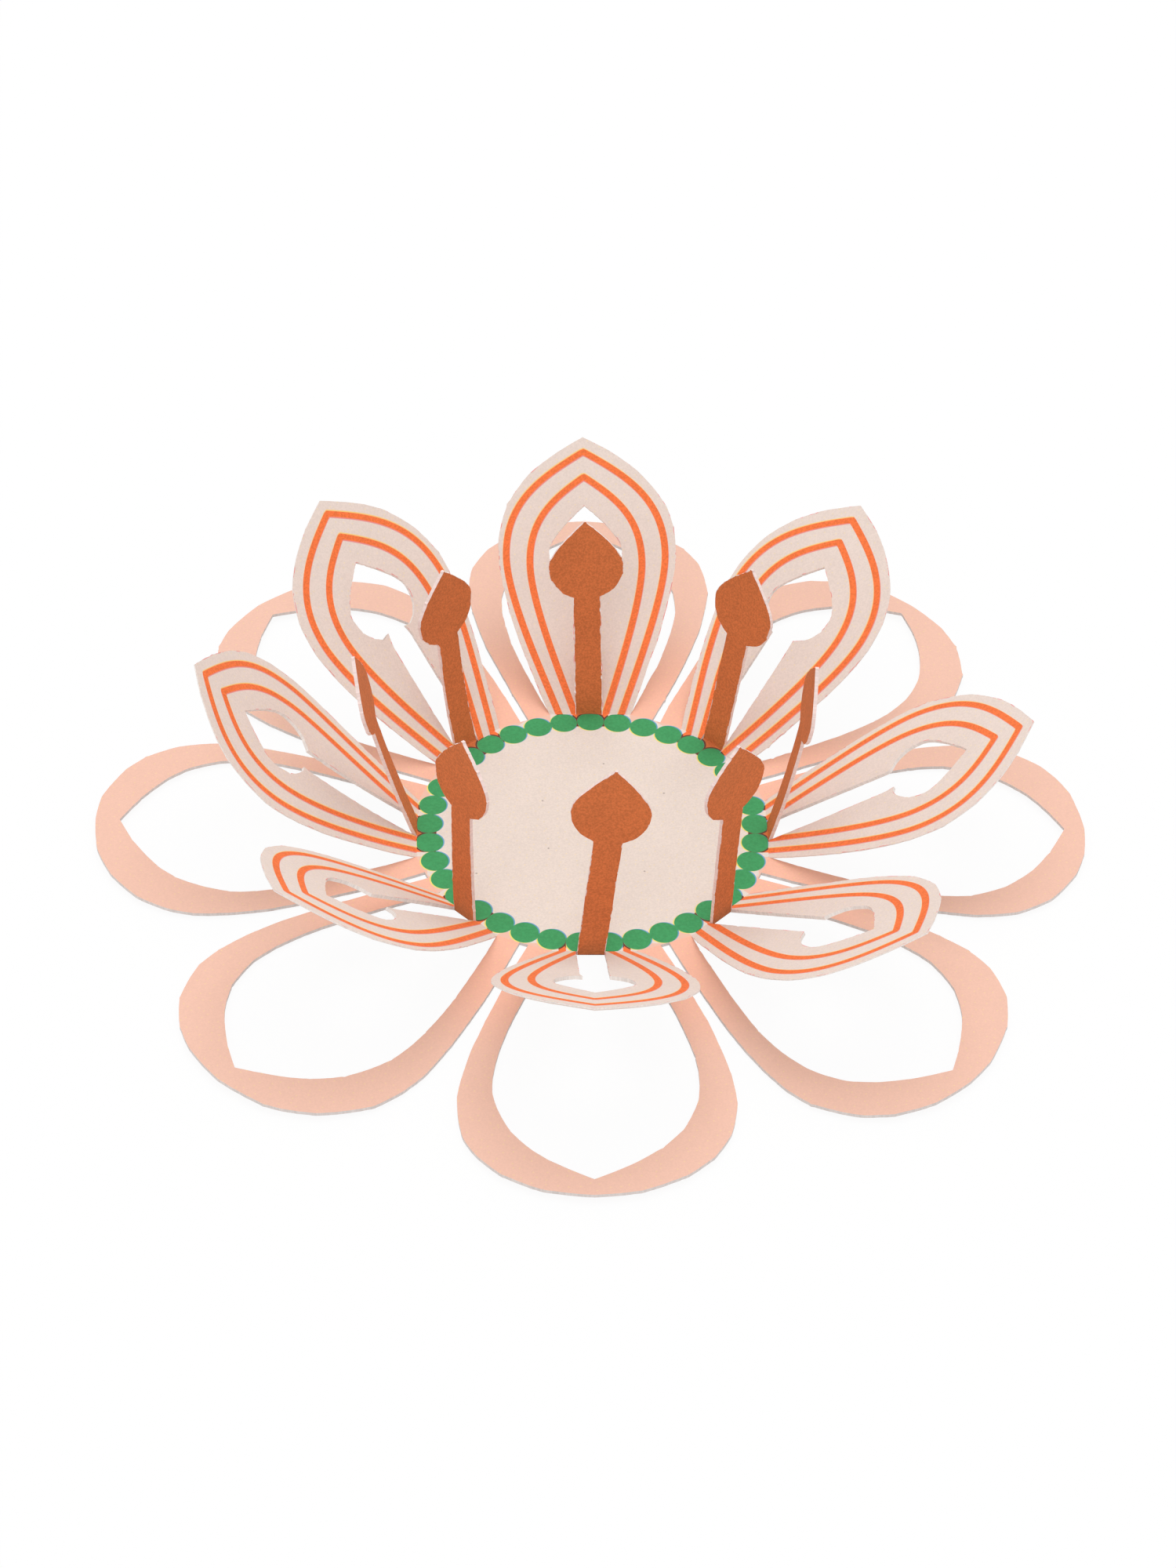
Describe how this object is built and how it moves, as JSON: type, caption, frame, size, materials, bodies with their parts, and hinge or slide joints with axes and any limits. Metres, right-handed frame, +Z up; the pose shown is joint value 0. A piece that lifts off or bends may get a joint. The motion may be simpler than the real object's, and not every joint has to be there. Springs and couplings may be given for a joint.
{
  "type": "paper flower card",
  "caption": "Cut and folded card flower: a flat disc with flat loops on the table, petals folded up from inside the loops and stamens folded up from inside the petals.",
  "frame": {"origin": "middle of the disc, on its underside", "axes": "+Z up from the table, +Y towards the back petal, +X to the right seen from the front"},
  "size_m": [0.081, 0.081, 0.0181],
  "materials": {
    "printed_card": "matt printed card, raw cut edges"
  },
  "bodies": {
    "root": {"flower_card": "printed_card"}
  },
  "joints": []
}
